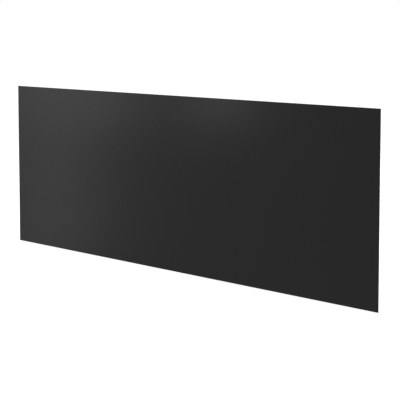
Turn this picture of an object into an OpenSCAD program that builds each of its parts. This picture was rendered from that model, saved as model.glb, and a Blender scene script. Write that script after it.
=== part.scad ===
// Adhesive-mounted kick plate for the foot of a door.
// A bevelled sheet-metal plate is held by strips of double-sided foam tape,
// and each strip still carries its peel-off release liner.
//
// Frame: the liners' outer faces lie in the plane y = 0, against the door.
// The plate's face looks along -Y, its width runs along X and its height along Z,
// and the origin is at the middle of the plate's width and height.

/* [Plate] */
// Width of the plate: 34 in, for a 36 in door
plate_w = 863.6; // [600:0.1:1220]
// Height of the plate: 12 in
plate_h = 304.8; // [200:0.1:410]
// Thickness of the sheet: 0.050 in
plate_t = 1.27; // [0.9:0.01:3.2]
// Leg of the 45 degree bevel along the four front edges
bevel = 0.6; // [0.1:0.05:0.8]
// Radius that eases the plate's four corners
corner_r = 0.8; // [0.2:0.1:6]

/* [Foam tape] */
// Width of every strip: 1 in
tape_w = 25.4; // [12:0.1:30]
// Thickness of the foam with its adhesive
tape_t = 1.1; // [0.4:0.05:2]
// Distance from the plate's edges to the outermost strips
tape_inset = 4; // [2:0.5:10]
// Gap between the end of an upright strip and the strip that it meets
strip_gap = 2; // [0.5:0.5:6]

/* [Release liner] */
// Thickness of the film on each strip
liner_t = 0.13; // [0.05:0.01:0.3]
// Length of the pull tab, where the liner runs on past the tape
tab_l = 12; // [6:0.5:20]
// Radius of the pull tab's two corners
tab_r = 4; // [1:0.5:5.5]

/* [Hidden] */
arc_fn = 64;

coat_black = [0.16, 0.16, 0.16];
foam_black = [0.09, 0.09, 0.10];
film_red = [0.72, 0.10, 0.10];

// The stack from the door outwards: liner, tape, plate
tape_y = -liner_t;
back_y = tape_y - tape_t;
front_y = back_y - plate_t;

// Two level strips run the full width, along the top and the bottom edge
level_l = plate_w - 2 * tape_inset;
level_z = plate_h / 2 - tape_inset - tape_w / 2;

// Upright strips fill the height between them, evenly spaced from end to end
upright_l = 2 * level_z - tape_w - 2 * strip_gap;
end_x = plate_w / 2 - tape_inset - tape_w / 2;
UPRIGHTS = ["left_end", "left_inner", "centre", "right_inner", "right_end"];
upright_pitch = 2 * end_x / (len(UPRIGHTS) - 1);

// Each strip is [name, length, middle, turn], and a level strip has no turn
STRIPS = concat(
    [
        ["top", level_l, [0, level_z], 0],
        ["bottom", level_l, [0, -level_z], 0]
    ],
    [
        for (i = [0 : len(UPRIGHTS) - 1])
            [UPRIGHTS[i], upright_l, [-end_x + i * upright_pitch, 0], -90]
    ]
);

// A rectangle in the XZ plane, extruded towards -Y from the plane y = from_y
module upright_slab(from_y, thickness) {
    translate([0, from_y, 0])
        rotate([90, 0, 0])
            linear_extrude(thickness)
                children();
}

// Rectangle w by h about the origin with its corners rounded to radius r
module rounded_rectangle(w, h, r) {
    square([w - 2 * r, h], center = true);
    square([w, h - 2 * r], center = true);
    for (x = [-1, 1], z = [-1, 1])
        translate([x * (w / 2 - r), z * (h / 2 - r)])
            circle(r, $fn = arc_fn);
}

// Square bar along X that takes a 45 degree bevel off an edge it is centred on
module bevel_bar(length) {
    rotate([45, 0, 0])
        cube([length, bevel * sqrt(2), bevel * sqrt(2)], center = true);
}

// The coated sheet, bevelled along its four front edges and square behind
module plate() {
    past_corners = 2 * plate_t;
    color(coat_black)
        difference() {
            upright_slab(back_y, plate_t)
                rounded_rectangle(plate_w, plate_h, corner_r);
            for (side = [-1, 1]) {
                translate([0, front_y, side * plate_h / 2])
                    bevel_bar(plate_w + past_corners);
                translate([side * plate_w / 2, front_y, 0])
                    rotate([0, 90, 0])
                        bevel_bar(plate_h + past_corners);
            }
        }
}

// Puts a strip's outline at its place on the back of the plate.
// Along the strip the tab is at the +X end, which an upright turns downwards.
module at_strip(strip) {
    translate(strip[2])
        rotate(strip[3])
            children();
}

// A foam tape stops one tab length short of the end of its liner
module tape(strip) {
    color(foam_black)
        upright_slab(tape_y, tape_t)
            at_strip(strip)
                translate([-strip[1] / 2, -tape_w / 2])
                    square([strip[1] - tab_l, tape_w]);
}

// A liner covers its tape and runs on to a pull tab with two round corners
module liner(strip) {
    color(film_red)
        upright_slab(0, liner_t)
            at_strip(strip) {
                translate([-strip[1] / 2, -tape_w / 2])
                    square([strip[1] - tab_r, tape_w]);
                rounded_rectangle(strip[1], tape_w, tab_r);
            }
}

plate();
for (s = STRIPS) {
    tape(s);
    liner(s);
}
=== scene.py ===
"""Looks for the adhesive-mounted kick plate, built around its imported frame.

The coated plate is the CAD node itself. The foam tapes and their release liners are
rebuilt here, because real foam bulges a little and real film ripples and curls.
Everything is in metres in the frame's axes: the plate's face looks along -Y.
"""

import math
import random

import bmesh
import bpy
from mathutils import Euler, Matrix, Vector


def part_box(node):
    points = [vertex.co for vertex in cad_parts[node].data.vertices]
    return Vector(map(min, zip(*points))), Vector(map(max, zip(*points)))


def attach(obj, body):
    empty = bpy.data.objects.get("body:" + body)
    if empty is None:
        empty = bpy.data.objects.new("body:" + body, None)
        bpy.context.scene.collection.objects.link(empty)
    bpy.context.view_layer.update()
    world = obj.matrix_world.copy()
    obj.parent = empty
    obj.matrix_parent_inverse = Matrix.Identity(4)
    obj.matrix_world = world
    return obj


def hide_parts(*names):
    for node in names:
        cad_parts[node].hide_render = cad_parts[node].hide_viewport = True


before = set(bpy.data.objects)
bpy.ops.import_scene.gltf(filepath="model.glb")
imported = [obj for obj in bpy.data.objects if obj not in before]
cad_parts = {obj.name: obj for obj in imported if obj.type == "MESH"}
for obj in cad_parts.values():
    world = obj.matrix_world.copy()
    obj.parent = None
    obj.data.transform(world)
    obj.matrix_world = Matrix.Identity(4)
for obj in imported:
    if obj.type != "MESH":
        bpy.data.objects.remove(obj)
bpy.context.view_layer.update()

MM = 0.001
BODY = "root"
DOORWARD = Vector((0, 1, 0))
PLATE_LOW, PLATE_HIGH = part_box("plate")
FACE_MIDDLE = Vector((0, PLATE_LOW.y, 0))
STRIPS = [name[len("tape_"):] for name in sorted(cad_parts) if name.startswith("tape_")]

# Powder coat: the size and depth of its grain and its orange peel, and the size of the patches
# over which its gloss slowly changes
COAT_GRAIN = 0.4 * MM
COAT_GRAIN_DEPTH = 0.016 * MM
COAT_PEEL = 1.5 * MM
COAT_PEEL_DEPTH = 0.055 * MM
COAT_CLOUD = 90 * MM
COAT_DARK = (0.016, 0.016, 0.016)
COAT_LIGHT = (0.026, 0.026, 0.026)
COAT_ROUGHNESS = (0.268, 0.280)
COAT_GRAIN_ROUGHNESS = 0.012
COAT_IOR = 1.5
# This near the sheet's edges the coat is worn, by between these amounts, which makes it smoother and also
# lightens it with a painted sheen along the edges
RIM_WIDTH = 1.2 * MM
RIM_WEAR_AND_SHEEN = (0.3, 1.0)
WEAR_SMOOTHS = 0.06
# How far the grain, and the edge wear with its painted sheen, each go from the dark grey to the light one
GRAIN_LIGHTENS = 0.6
WEAR_AND_SHEEN_LIGHTENS = 0.5

# Foam: its cells, whose sunken middles carry painted shade that lifts to the lighter walls between these
# distances from a cell's middle, in cells, and the patches over which its roughness changes
FOAM_CELL = 0.28 * MM
FOAM_CELL_DEPTH = 0.05 * MM
FOAM_PORE_SHADE = (0.1, 0.7)
FOAM_PATCH = 3 * MM
FOAM_SHADED_PORE = (0.012, 0.012, 0.013)
FOAM_LIGHT = (0.055, 0.055, 0.058)
FOAM_ROUGHNESS = (0.78, 0.92)
FOAM_IOR = 1.45
# The slit sides of a foam strip, and the most between its mesh's rings. Waves are given as how
# many, the shortest and the longest.
FOAM_CORNER = 0.2 * MM
FOAM_BULGE = 0.12 * MM
FOAM_WANDER = 0.15 * MM
FOAM_WAVES = (4, 12 * MM, 90 * MM)
FOAM_RING_GAP = 4 * MM

# Film: streaks that are drawn out along it, haze in its colour and pearl in its gloss
FILM_STREAK = 1.2 * MM
FILM_STREAK_DEPTH = 0.02 * MM
FILM_STREAK_SQUEEZE = (0.05, 1, 1)
FILM_HAZE = 18 * MM
FILM_PEARL = 0.6 * MM
FILM_PEARL_DEPTH = 0.006 * MM
FILM_DEEP_RED = (0.46, 0.008, 0.010)
FILM_RED = (0.54, 0.012, 0.014)
FILM_FREE_RED = (0.72, 0.040, 0.034)
FILM_ROUGHNESS = (0.16, 0.28)
FILM_PEARL_ROUGHNESS = 0.02
FILM_IOR = 1.5
# One in six of these cells holds a round bubble about 1 mm across, which fades out between these
# distances from its middle, in cells
BUBBLE_CELL = 5 * MM
BUBBLE_EDGE = (0.08, 0.13)
BUBBLE_ABSENT = 0.83
BUBBLE_LIGHTENS = 0.6
BUBBLE_DEPTH = 0.04 * MM
# The film's ripples, about a level that keeps most of them off the tape
RIPPLE_REACH = 0.22 * MM
RIPPLE_LEVEL = RIPPLE_REACH / 3
RIPPLE_WAVES = (9, 8 * MM, 26 * MM)
# Its low blisters, one to each such gap: where they lie along the tape and across half of it, how
# long and how high they are, and their width as a part of their length
BLISTER_GAP = 90 * MM
BLISTER_ALONG = (0.04, 0.96)
BLISTER_ACROSS = (-0.6, 0.6)
BLISTER_LENGTH = (5 * MM, 13 * MM)
BLISTER_RISE = (0.15 * MM, 0.35 * MM)
BLISTER_SLIMNESS = 0.4
# The pull tab: how high it curls, how much more on one side, its round corners, and how soon the
# film pales where the black foam behind it ends
TAB_CURL = (1.7 * MM, 2.6 * MM)
TAB_TWIST = (-0.25, 0.25)
TAB_CORNER = 4 * MM
TAB_FADE = 1 * MM
# The film's mesh: columns across it, and rows on its tape, on its tab and around its corners
FILM_COLUMNS = 17
FILM_ROW_GAP = 2.5 * MM
TAB_ROW_GAP = 1 * MM
CORNER_ROWS = 8
SLOPE_STEP = 0.1 * MM
# Each strip is cut from a random place on a roll this long, so no two show the same streaks
ROLL_LENGTH = 10.0

# How far the headings of ripples and waves stray from the strip's own, in radians
WAVE_SPREAD = 0.5
# Edges that turn by more than this stay crisp, and the rest is shaded smooth
SHARP_ANGLE = math.radians(40)

# Camera: its place from the middle of the plate's face, its aim, and its lens and shift
CAMERA_OFFSET = Vector((1.495, -1.478, 0.287))
CAMERA_TURN = math.radians(44.09)
CAMERA_TILT = math.radians(4.80)
CAMERA_LENS = 110.85
CAMERA_RISE = -0.2
CAMERA_NEAREST = 0.05
CAMERA_FURTHEST = 200

# Studio: a white backdrop, a dimmer light all round, and a floor that glows by itself
WHITE = (1, 1, 1, 1)
BACKGROUND_GLOW = 1.0
AMBIENT_GLOW = 0.33
FLOOR_GLOW = 0.85
FLOOR_COLOUR = (0.8, 0.8, 0.8, 1)
FLOOR_HALF = 30.0

# Soft panels: middle, the way they face, width, height and radiance.
# Those in front shine in the plate's face, and those behind in its back and its liners.
PANELS = {
    "key_low": ((-0.93, -0.5, -0.16), DOORWARD, 0.32, 0.35, 0.515),
    "key_high": ((-0.88, -0.5, 0.15), DOORWARD, 0.51, 0.26, 0.727),
    "accent": ((-0.35, -0.5, 0.13), DOORWARD, 0.15, 0.15, 1.08),
    "back_key": ((1.45, 0.9, -0.25), -DOORWARD, 0.9, 0.7, 0.9),
    "back_fill": ((0.35, 0.9, -0.15), -DOORWARD, 0.7, 0.9, 0.3),
    "back_top": ((-0.7, 1.2, 1.2), Vector((0.4, -0.7, -0.7)), 1.2, 0.9, 5.0),
}


# ---------------------------------------------------------------- shader nodes

def new_material(name):
    """An empty node material, and its tree."""
    material = bpy.data.materials.new(name)
    material.use_nodes = True
    material.node_tree.nodes.clear()
    return material, material.node_tree


def set_input(tree, socket, value):
    """Gives an input a plain value, or links it to another node's output."""
    if isinstance(value, bpy.types.NodeSocket):
        tree.links.new(value, socket)
    else:
        socket.default_value = value


def add(tree, kind, inputs=None, **settings):
    """Adds a shader node with those inputs and settings."""
    made = tree.nodes.new(kind)
    for key, value in settings.items():
        setattr(made, key, value)
    for key, value in (inputs or {}).items():
        set_input(tree, made.inputs[key], value)
    return made


def maths(tree, operation, *values):
    """The result of a sum on one or two values."""
    made = add(tree, "ShaderNodeMath", operation=operation)
    for socket, value in zip(made.inputs, values):
        set_input(tree, socket, value)
    return made.outputs[0]


def noise(tree, place, feature, detail=2.0):
    """Soft noise from 0 to 1 whose features are about that many metres across."""
    made = add(tree, "ShaderNodeTexNoise", {"Vector": place, "Scale": 1 / feature, "Detail": detail})
    return made.outputs["Fac"]


def remap(tree, value, low, high, from_low=0.3, from_high=0.7):
    """Carries a value, clamped, to a new range from an old one, which fits noise if none is given."""
    made = add(tree, "ShaderNodeMapRange", {
        "Value": value, "From Min": from_low, "From Max": from_high,
        "To Min": low, "To Max": high,
    })
    return made.outputs["Result"]


def between(tree, factor, first, second):
    """Colour between two others, by a factor from 0 to 1. The first may be another node's output."""
    if isinstance(first, tuple):
        first = (*first, 1)
    made = add(tree, "ShaderNodeMix", {"A": first, "B": (*second, 1)}, data_type="RGBA")
    tree.links.new(factor, made.inputs["Factor"])
    return made.outputs["Result"]


def bump(tree, height, depth, under=None):
    """Surface relief that is that many metres deep, on top of another relief."""
    inputs = {"Height": height, "Distance": depth, "Strength": 1.0}
    if under is not None:
        inputs["Normal"] = under
    return add(tree, "ShaderNodeBump", inputs).outputs["Normal"]


def finish_material(tree, shader):
    add(tree, "ShaderNodeOutputMaterial", {"Surface": shader.outputs[0]})


def finish_surface(tree, colour, roughness, relief, ior):
    """Ends a material in a plain opaque surface."""
    finish_material(tree, add(tree, "ShaderNodeBsdfPrincipled", {
        "Base Color": colour, "Roughness": roughness, "Normal": relief, "IOR": ior,
    }))


# ---------------------------------------------------------------- materials

def sheet_rim(tree, place):
    """1 at the very edge of the sheet, falling to 0 over the rim's width."""
    axes = add(tree, "ShaderNodeSeparateXYZ", {"Vector": place})
    from_side = maths(tree, "SUBTRACT", PLATE_HIGH.x, maths(tree, "ABSOLUTE", axes.outputs["X"]))
    from_top = maths(tree, "SUBTRACT", PLATE_HIGH.z, maths(tree, "ABSOLUTE", axes.outputs["Z"]))
    return remap(tree, maths(tree, "MINIMUM", from_side, from_top), 1.0, 0.0, 0.0, RIM_WIDTH)


def powder_coat():
    """Satin black powder coat: fine grain, soft orange peel, thinner at the sheet's edges, where a painted
    sheen also lightens it.
    """
    material, tree = new_material("powder_coat_black")
    place = add(tree, "ShaderNodeTexCoord").outputs["Object"]
    grain = noise(tree, place, COAT_GRAIN, detail=3.0)
    peel = noise(tree, place, COAT_PEEL)
    cloud = noise(tree, place, COAT_CLOUD, detail=3.0)
    worn_and_sheen = maths(tree, "MULTIPLY", sheet_rim(tree, place), remap(tree, peel, *RIM_WEAR_AND_SHEEN))

    # The rim's lightening is partly edge wear and partly a painted sheen along the edges
    lighter = maths(tree, "ADD", maths(tree, "MULTIPLY", grain, GRAIN_LIGHTENS),
                    maths(tree, "MULTIPLY", worn_and_sheen, WEAR_AND_SHEEN_LIGHTENS))
    dull = maths(tree, "ADD", remap(tree, cloud, *COAT_ROUGHNESS),
                 remap(tree, grain, -COAT_GRAIN_ROUGHNESS, COAT_GRAIN_ROUGHNESS))
    dull = maths(tree, "SUBTRACT", dull, maths(tree, "MULTIPLY", worn_and_sheen, WEAR_SMOOTHS))
    relief = bump(tree, grain, COAT_GRAIN_DEPTH, bump(tree, peel, COAT_PEEL_DEPTH))
    finish_surface(tree, between(tree, lighter, COAT_DARK, COAT_LIGHT), dull, relief, COAT_IOR)
    return material


def foam():
    """Black acrylic foam, dull, with the open cells that a slit edge shows and painted shade in their
    sunken middles.
    """
    material, tree = new_material("foam_tape_black")
    place = add(tree, "ShaderNodeTexCoord").outputs["Object"]
    cells = add(tree, "ShaderNodeTexVoronoi", {"Vector": place, "Scale": 1 / FOAM_CELL})
    from_middle = cells.outputs["Distance"]
    # Each pore's middle is darkened as painted shade in the hollow, lightening to the walls' own grey
    colour = between(tree, remap(tree, from_middle, 0.0, 1.0, *FOAM_PORE_SHADE), FOAM_SHADED_PORE, FOAM_LIGHT)
    dull = remap(tree, noise(tree, place, FOAM_PATCH), *FOAM_ROUGHNESS)
    finish_surface(tree, colour, dull, bump(tree, from_middle, FOAM_CELL_DEPTH), FOAM_IOR)
    return material


def film_bubbles(tree, run):
    """1 in the small round bubbles that are trapped under the film, 0 elsewhere."""
    cells = add(tree, "ShaderNodeTexVoronoi", {"Vector": run, "Scale": 1 / BUBBLE_CELL})
    drawn = add(tree, "ShaderNodeSeparateColor", {"Color": cells.outputs["Color"]}).outputs[0]
    return maths(tree, "MULTIPLY", remap(tree, cells.outputs["Distance"], 1.0, 0.0, *BUBBLE_EDGE),
                 maths(tree, "GREATER_THAN", drawn, BUBBLE_ABSENT))


def liner_film():
    """Glossy red film: deep red on the black foam, lighter over its bubbles and on its free tab."""
    material, tree = new_material("liner_film_red")
    run = add(tree, "ShaderNodeAttribute", attribute_name="run").outputs["Vector"]
    free = add(tree, "ShaderNodeAttribute", attribute_name="free").outputs["Fac"]
    squeezed = add(tree, "ShaderNodeMapping", {"Vector": run, "Scale": FILM_STREAK_SQUEEZE})
    streaks = noise(tree, squeezed.outputs["Vector"], FILM_STREAK, detail=3.0)
    haze = noise(tree, run, FILM_HAZE, detail=3.0)
    pearl = noise(tree, run, FILM_PEARL)
    bubbles = film_bubbles(tree, run)

    on_foam = between(tree, remap(tree, haze, 0.0, 1.0), FILM_DEEP_RED, FILM_RED)
    lighter = maths(tree, "MAXIMUM", free, maths(tree, "MULTIPLY", bubbles, BUBBLE_LIGHTENS))
    dull = maths(tree, "ADD", remap(tree, streaks, *FILM_ROUGHNESS),
                 remap(tree, pearl, -FILM_PEARL_ROUGHNESS, FILM_PEARL_ROUGHNESS))
    relief = bump(tree, streaks, FILM_STREAK_DEPTH, bump(tree, bubbles, BUBBLE_DEPTH))
    relief = bump(tree, pearl, FILM_PEARL_DEPTH, relief)
    finish_surface(tree, between(tree, lighter, on_foam, FILM_FREE_RED), dull, relief, FILM_IOR)
    return material


# ---------------------------------------------------------------- pieces

class Strip:
    """Where one strip runs: from its plain end, along its length, to its tab's end."""

    def __init__(self, name):
        self.name = name
        liner_low, liner_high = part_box("liner_" + name)
        tape_low, tape_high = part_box("tape_" + name)
        liner_middle = (liner_low + liner_high) / 2
        tape_middle = (tape_low + tape_high) / 2
        # Only the liner runs on to the tab, so the two middles are half a tab apart
        to_tab = liner_middle - tape_middle
        to_tab.y = 0
        self.tab = 2 * to_tab.length
        self.along = to_tab.normalized()
        self.across = self.along.cross(DOORWARD)
        self.length = abs((liner_high - liner_low).dot(self.along))
        self.half = abs((liner_high - liner_low).dot(self.across)) / 2
        self.taped = self.length - self.tab
        self.start = liner_middle - self.along * self.length / 2
        self.start.y = 0
        self.film_back = liner_low.y
        self.foam_back = tape_low.y
        self.random = random.Random(name)

    def point(self, along, across, doorward):
        return self.start + self.along * along + self.across * across + DOORWARD * doorward


def make_piece(name, points, faces, material, node):
    """A mesh object that rides on the frame in the place of a CAD node."""
    mesh = bpy.data.meshes.new(name)
    mesh.from_pydata([tuple(point) for point in points], [], faces)
    tidy = bmesh.new()
    tidy.from_mesh(mesh)
    bmesh.ops.recalc_face_normals(tidy, faces=tidy.faces)
    tidy.to_mesh(mesh)
    tidy.free()
    mesh.shade_smooth()
    mesh.set_sharp_from_angle(angle=SHARP_ANGLE)
    mesh.materials.append(material)
    piece = bpy.data.objects.new(name, mesh)
    bpy.context.scene.collection.objects.link(piece)
    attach(piece, BODY)
    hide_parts(node)
    return piece


def waves(source, count, shortest, longest, reach):
    """A smooth random relief, as a function of the places along and across a strip."""
    parts = []
    for _ in range(count):
        length = source.uniform(shortest, longest)
        heading = source.gauss(0, WAVE_SPREAD)
        parts.append((math.cos(heading) / length, math.sin(heading) / length, source.uniform(0, math.tau)))

    def height(along, across=0.0):
        total = sum(math.sin(math.tau * (a * along + b * across) + phase) for a, b, phase in parts)
        return reach / count * total

    return height


def foam_side(low, high):
    """Half of a foam strip's outline, up one side: how far in from the side, and the height."""
    middle = (low + high) / 2
    diagonal = FOAM_CORNER * (1 - math.sqrt(0.5))
    return [(FOAM_CORNER, low), (diagonal, low + diagonal), (0, low + FOAM_CORNER), (-FOAM_BULGE, middle),
            (0, high - FOAM_CORNER), (diagonal, high - diagonal), (FOAM_CORNER, high)]


def bar_faces(rings, size):
    """Quads between rings of that many points, and a cap at each end."""
    last = rings * size
    sides = [(a + j, a + (j + 1) % size, a + size + (j + 1) % size, a + size + j)
             for a in range(0, last, size) for j in range(size)]
    return sides + [tuple(range(size)), tuple(range(last, last + size))]


def foam_strip(strip, material):
    """A foam bar whose slit sides bulge and wander a little, with soft corners."""
    left = waves(strip.random, *FOAM_WAVES, FOAM_WANDER)
    right = waves(strip.random, *FOAM_WAVES, FOAM_WANDER)
    side = foam_side(strip.foam_back, strip.film_back)
    reach = strip.half - FOAM_WANDER
    rings = math.ceil(strip.taped / FOAM_RING_GAP)
    points = []
    for i in range(rings + 1):
        along = strip.taped * i / rings
        points += [strip.point(along, reach - inset + right(along), y) for inset, y in side]
        points += [strip.point(along, inset - reach + left(along), y) for inset, y in reversed(side)]
    return make_piece("foam_" + strip.name, points, bar_faces(rings, 2 * len(side)),
                      material, "tape_" + strip.name)


def film_height(strip):
    """A function that gives a liner's height off the door plane, anywhere along and across it."""
    source = strip.random
    curl = source.uniform(*TAB_CURL)
    twist = source.uniform(*TAB_TWIST)
    relief = waves(source, *RIPPLE_WAVES, RIPPLE_REACH)
    blisters = [(source.uniform(*BLISTER_ALONG) * strip.taped, source.uniform(*BLISTER_ACROSS) * strip.half,
                 source.uniform(*BLISTER_LENGTH), source.uniform(*BLISTER_RISE))
                for _ in range(round(strip.taped / BLISTER_GAP))]

    def height(along, across):
        free = max(0.0, (along - strip.taped) / strip.tab)
        lift = RIPPLE_LEVEL + relief(along, across)
        lift += curl * free ** 2 * (1 + twist * across / strip.half)
        for at, side, length, rise in blisters:
            width = BLISTER_SLIMNESS * length
            lift += rise * math.exp(-((along - at) / length) ** 2 - ((across - side) / width) ** 2)
        return max(lift, 0.0)

    return height


def film_stations(strip):
    """Places along a liner for its rows of points, closer on its tab and around the tab's corners."""
    straight = strip.length - TAB_CORNER
    tab = straight - strip.taped
    taped_rows = round(strip.taped / FILM_ROW_GAP)
    tab_rows = round(tab / TAB_ROW_GAP)
    quarter = math.pi / 2
    stations = [strip.taped * i / taped_rows for i in range(taped_rows)]
    stations += [strip.taped + tab * i / tab_rows for i in range(tab_rows)]
    stations += [straight + TAB_CORNER * math.sin(quarter * i / CORNER_ROWS)
                 for i in range(CORNER_ROWS + 1)]
    return stations


def film_half(strip, along):
    """Half of a liner's width at a place along it, less where the tab's corners are round."""
    past = max(0.0, along - (strip.length - TAB_CORNER))
    return strip.half - TAB_CORNER + math.sqrt(max(0.0, TAB_CORNER ** 2 - past ** 2))


def slab_faces(rows, columns):
    """Quads over a grid of front points, a grid of back points listed after it, and the rim."""
    count = rows * columns
    front = [(a, a + 1, a + columns + 1, a + columns)
             for row in range(rows - 1) for a in range(row * columns, (row + 1) * columns - 1)]
    back = [tuple(count + i for i in face) for face in front]
    loop = list(range(columns))
    loop += range(2 * columns - 1, count, columns)
    loop += range(count - 2, count - columns - 1, -1)
    loop += range(count - 2 * columns, 0, -columns)
    rim = [(a, b, count + b, count + a) for a, b in zip(loop, loop[1:] + loop[:1])]
    return front + back + rim


def film_strip(strip, material):
    """A liner: nearly flat on its tape, then a free tab that curls towards the door."""
    thickness = -strip.film_back
    height = film_height(strip)
    roll_start = strip.random.uniform(0, ROLL_LENGTH)
    stations = film_stations(strip)
    front, back, run, free = [], [], [], []
    for along in stations:
        half = film_half(strip, along)
        for i in range(FILM_COLUMNS):
            across = half * (2 * i / (FILM_COLUMNS - 1) - 1)
            lift = height(along, across)
            rise = height(along + SLOPE_STEP, across) - height(along - SLOPE_STEP, across)
            slope = rise / (2 * SLOPE_STEP)
            depth = thickness / math.hypot(1, slope)
            front.append(strip.point(along, across, lift))
            back.append(strip.point(along + slope * depth, across, lift - depth))
            run.append((along + roll_start, across, 0))
            free.append(min(1.0, max(0.0, (along - strip.taped) / TAB_FADE)))

    piece = make_piece("film_" + strip.name, front + back, slab_faces(len(stations), FILM_COLUMNS),
                       material, "liner_" + strip.name)
    runs = piece.data.attributes.new("run", "FLOAT_VECTOR", "POINT")
    runs.data.foreach_set("vector", [value for place in run + run for value in place])
    frees = piece.data.attributes.new("free", "FLOAT", "POINT")
    frees.data.foreach_set("value", free + free)
    return piece


# ---------------------------------------------------------------- studio

def make_camera():
    data = bpy.data.cameras.new("camera")
    data.lens = CAMERA_LENS
    data.shift_y = CAMERA_RISE
    data.clip_start = CAMERA_NEAREST
    data.clip_end = CAMERA_FURTHEST
    camera = bpy.data.objects.new("camera", data)
    camera.location = FACE_MIDDLE + CAMERA_OFFSET
    camera.rotation_euler = Euler((math.pi / 2 - CAMERA_TILT, 0, CAMERA_TURN))
    bpy.context.scene.collection.objects.link(camera)
    bpy.context.scene.camera = camera


def make_background():
    """A white backdrop for the camera that lights the object much more gently."""
    world = bpy.data.worlds.new("studio")
    world.use_nodes = True
    tree = world.node_tree
    tree.nodes.clear()
    seen = add(tree, "ShaderNodeBackground", {"Color": WHITE, "Strength": BACKGROUND_GLOW})
    ambient = add(tree, "ShaderNodeBackground", {"Color": WHITE, "Strength": AMBIENT_GLOW})
    rays = add(tree, "ShaderNodeLightPath")
    mix = add(tree, "ShaderNodeMixShader", {
        0: rays.outputs["Is Camera Ray"], 1: ambient.outputs[0], 2: seen.outputs[0],
    })
    add(tree, "ShaderNodeOutputWorld", {"Surface": mix.outputs[0]})
    bpy.context.scene.world = world


def make_floor():
    """A plain pale floor under the plate's lower edge, lit from within so that shadows stay soft."""
    material, tree = new_material("floor_white")
    lit = add(tree, "ShaderNodeBsdfDiffuse", {"Color": FLOOR_COLOUR})
    glow = add(tree, "ShaderNodeEmission", {"Color": WHITE, "Strength": FLOOR_GLOW})
    finish_material(tree, add(tree, "ShaderNodeAddShader", {0: lit.outputs[0], 1: glow.outputs[0]}))
    mesh = bpy.data.meshes.new("floor")
    corners = [(x * FLOOR_HALF, y * FLOOR_HALF, PLATE_LOW.z)
               for x, y in ((-1, -1), (1, -1), (1, 1), (-1, 1))]
    mesh.from_pydata(corners, [], [(0, 1, 2, 3)])
    mesh.materials.append(material)
    floor = bpy.data.objects.new("floor", mesh)
    bpy.context.scene.collection.objects.link(floor)
    floor.visible_glossy = False
    floor.visible_diffuse = False
    floor.visible_shadow = False


def soft_panel(name, place, facing, width, height, radiance):
    """A rectangular soft light of even radiance."""
    data = bpy.data.lights.new(name, "AREA")
    data.shape = "RECTANGLE"
    data.size = width
    data.size_y = height
    data.energy = radiance * math.pi * width * height
    light = bpy.data.objects.new(name, data)
    light.location = place
    light.rotation_euler = facing.to_track_quat("-Z", "Y").to_euler()
    bpy.context.scene.collection.objects.link(light)


# ---------------------------------------------------------------- build

make_camera()
make_background()
make_floor()
for panel_name, panel in PANELS.items():
    soft_panel(panel_name, *panel)
bpy.context.scene.view_settings.view_transform = "Standard"

coat = powder_coat()
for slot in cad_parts["plate"].material_slots:
    slot.material = coat

foam_black = foam()
film_red = liner_film()
for strip_name in STRIPS:
    strip = Strip(strip_name)
    foam_strip(strip, foam_black)
    film_strip(strip, film_red)
